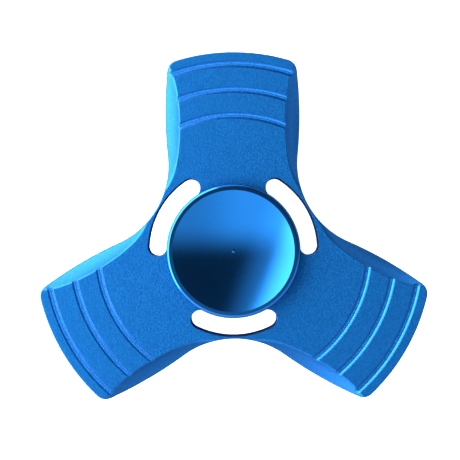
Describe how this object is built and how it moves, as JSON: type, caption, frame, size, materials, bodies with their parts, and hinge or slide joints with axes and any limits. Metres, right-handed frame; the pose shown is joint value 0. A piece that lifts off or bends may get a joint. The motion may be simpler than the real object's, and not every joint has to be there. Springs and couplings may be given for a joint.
{
  "type": "fidget spinner",
  "caption": "Three-armed aluminium fidget spinner on a ball bearing, with scooped arm sides, grooved faces, arc slots and dished finger caps.",
  "frame": {"origin": "on the spin axis, halfway through the body's thickness; it is the assembly's centroid to within a tenth of a millimetre", "axes": "+Z is the spin axis, out of the front cap; +Y runs along one arm; +X completes the right-handed set"},
  "size_m": [0.0604, 0.054, 0.013],
  "materials": {
    "body_anodised": "bead-blasted, blue anodised, with bright-cut scoops and grooves",
    "cap_anodised": "fine-turned, blue anodised",
    "bearing_steel": "ground and polished bearing steel",
    "ball_steel": "lapped bearing steel",
    "cage_brass": "machined",
    "shield_steel": "pressed stainless sheet",
    "clip_steel": "spring steel strip"
  },
  "bodies": {
    "hub": {"cap_front": "cap_anodised", "cap_back": "cap_anodised", "bearing_inner_ring": "bearing_steel"},
    "rotor": {"body": "body_anodised", "bearing_outer_ring": "bearing_steel", "shield_front": "shield_steel", "shield_back": "shield_steel", "shield_clip_front": "clip_steel", "shield_clip_back": "clip_steel"},
    "cage": {"ball_cage": "cage_brass"},
    "ball_01": {"ball_01": "ball_steel"},
    "ball_02": {"ball_02": "ball_steel"},
    "ball_03": {"ball_03": "ball_steel"},
    "ball_04": {"ball_04": "ball_steel"},
    "ball_05": {"ball_05": "ball_steel"},
    "ball_06": {"ball_06": "ball_steel"},
    "ball_07": {"ball_07": "ball_steel"},
    "ball_08": {"ball_08": "ball_steel"},
    "ball_09": {"ball_09": "ball_steel"},
    "ball_10": {"ball_10": "ball_steel"}
  },
  "joints": [
    {"name": "rotor_spin", "type": "hinge", "parent": "hub", "child": "rotor", "pos_m": [0, 0, 0], "axis": [0, 0, 1], "continuous": true},
    {"name": "cage_spin", "type": "hinge", "parent": "hub", "child": "cage", "pos_m": [0, 0, 0], "axis": [0, 0, 1], "continuous": true},
    {"name": "ball_01_roll", "type": "hinge", "parent": "cage", "child": "ball_01", "pos_m": [0.00476, 0, 0], "axis": [0, 0, 1], "continuous": true},
    {"name": "ball_02_roll", "type": "hinge", "parent": "cage", "child": "ball_02", "pos_m": [0.00385, 0.0028, 0], "axis": [0, 0, 1], "continuous": true},
    {"name": "ball_03_roll", "type": "hinge", "parent": "cage", "child": "ball_03", "pos_m": [0.00147, 0.00453, 0], "axis": [0, 0, 1], "continuous": true},
    {"name": "ball_04_roll", "type": "hinge", "parent": "cage", "child": "ball_04", "pos_m": [-0.00147, 0.00453, 0], "axis": [0, 0, 1], "continuous": true},
    {"name": "ball_05_roll", "type": "hinge", "parent": "cage", "child": "ball_05", "pos_m": [-0.00385, 0.0028, 0], "axis": [0, 0, 1], "continuous": true},
    {"name": "ball_06_roll", "type": "hinge", "parent": "cage", "child": "ball_06", "pos_m": [-0.00476, 0, 0], "axis": [0, 0, 1], "continuous": true},
    {"name": "ball_07_roll", "type": "hinge", "parent": "cage", "child": "ball_07", "pos_m": [-0.00385, -0.0028, 0], "axis": [0, 0, 1], "continuous": true},
    {"name": "ball_08_roll", "type": "hinge", "parent": "cage", "child": "ball_08", "pos_m": [-0.00147, -0.00453, 0], "axis": [0, 0, 1], "continuous": true},
    {"name": "ball_09_roll", "type": "hinge", "parent": "cage", "child": "ball_09", "pos_m": [0.00147, -0.00453, 0], "axis": [0, 0, 1], "continuous": true},
    {"name": "ball_10_roll", "type": "hinge", "parent": "cage", "child": "ball_10", "pos_m": [0.00385, -0.0028, 0], "axis": [0, 0, 1], "continuous": true}
  ],
  "couplings": [
    {"joint": "cage_spin", "follows": "rotor_spin", "ratio": 0.60415},
    {"joint": "ball_01_roll", "follows": "rotor_spin", "ratio": 2.2963},
    {"joint": "ball_02_roll", "follows": "rotor_spin", "ratio": 2.2963},
    {"joint": "ball_03_roll", "follows": "rotor_spin", "ratio": 2.2963},
    {"joint": "ball_04_roll", "follows": "rotor_spin", "ratio": 2.2963},
    {"joint": "ball_05_roll", "follows": "rotor_spin", "ratio": 2.2963},
    {"joint": "ball_06_roll", "follows": "rotor_spin", "ratio": 2.2963},
    {"joint": "ball_07_roll", "follows": "rotor_spin", "ratio": 2.2963},
    {"joint": "ball_08_roll", "follows": "rotor_spin", "ratio": 2.2963},
    {"joint": "ball_09_roll", "follows": "rotor_spin", "ratio": 2.2963},
    {"joint": "ball_10_roll", "follows": "rotor_spin", "ratio": 2.2963}
  ]
}
